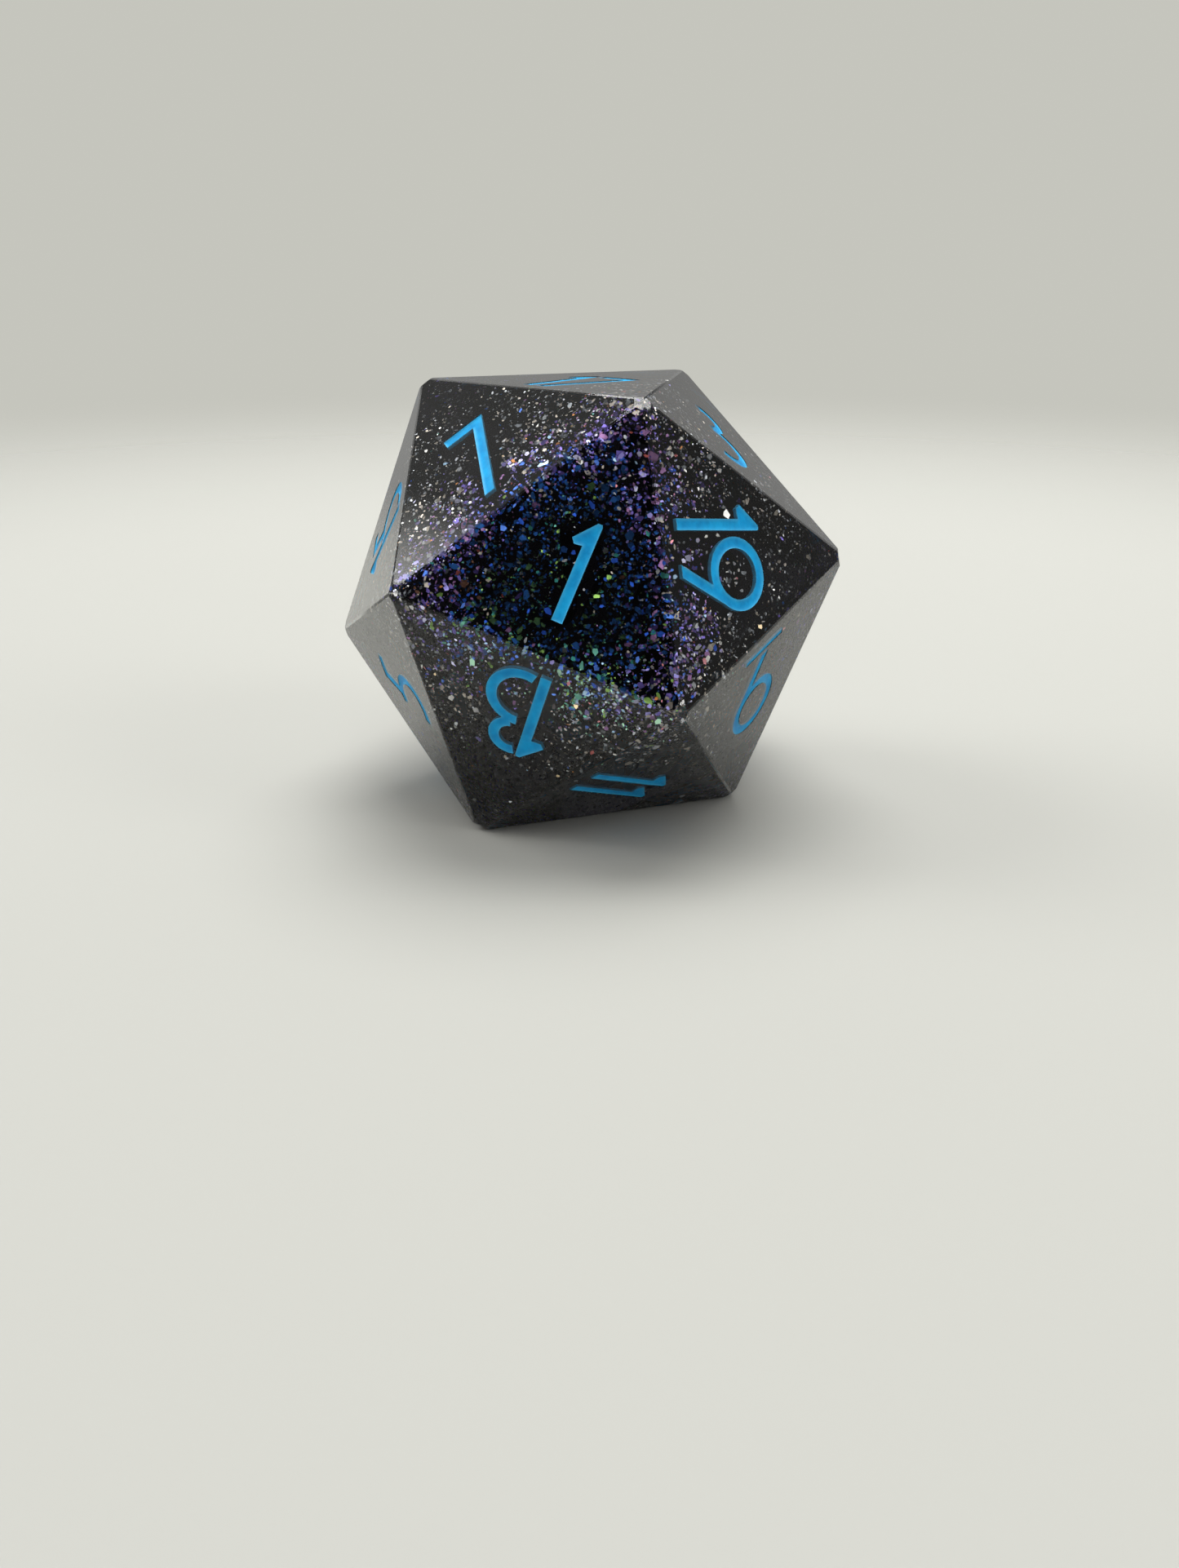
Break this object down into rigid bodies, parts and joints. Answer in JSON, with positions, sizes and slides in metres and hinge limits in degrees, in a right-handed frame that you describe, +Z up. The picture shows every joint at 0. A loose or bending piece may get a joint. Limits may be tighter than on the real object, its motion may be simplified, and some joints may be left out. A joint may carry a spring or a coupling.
{
  "type": "polyhedral die",
  "caption": "Icosahedral die of dark see-through resin with embedded glitter flakes and engraved, inked numerals, rolled to give a random number.",
  "frame": {"origin": "middle of the face numbered 4, which the die rests on", "axes": "+Z up, out of the face numbered 17; +X along the front edge of that face, so -Y looks out over the edge between 17 and 7"},
  "size_m": [0.0234, 0.0268, 0.022],
  "materials": {
    "resin": "polished, see-through black",
    "ink": "satin paint, a little sunk",
    "foil_silver": "bright foil",
    "foil_violet": "iridescent film",
    "foil_blue": "iridescent film",
    "foil_green": "iridescent film",
    "foil_copper": "iridescent film"
  },
  "bodies": {
    "root": {"resin_body": "resin", "ink_01": "ink", "ink_02": "ink", "ink_03": "ink", "ink_04": "ink", "ink_05": "ink", "ink_06": "ink", "ink_07": "ink", "ink_08": "ink", "ink_09": "ink", "ink_10": "ink", "ink_11": "ink", "ink_12": "ink", "ink_13": "ink", "ink_14": "ink", "ink_15": "ink", "ink_16": "ink", "ink_17": "ink", "ink_18": "ink", "ink_19": "ink", "ink_20": "ink", "glitter_silver": "foil_silver", "glitter_violet": "foil_violet", "glitter_blue": "foil_blue", "glitter_green": "foil_green", "glitter_copper": "foil_copper"}
  },
  "joints": []
}
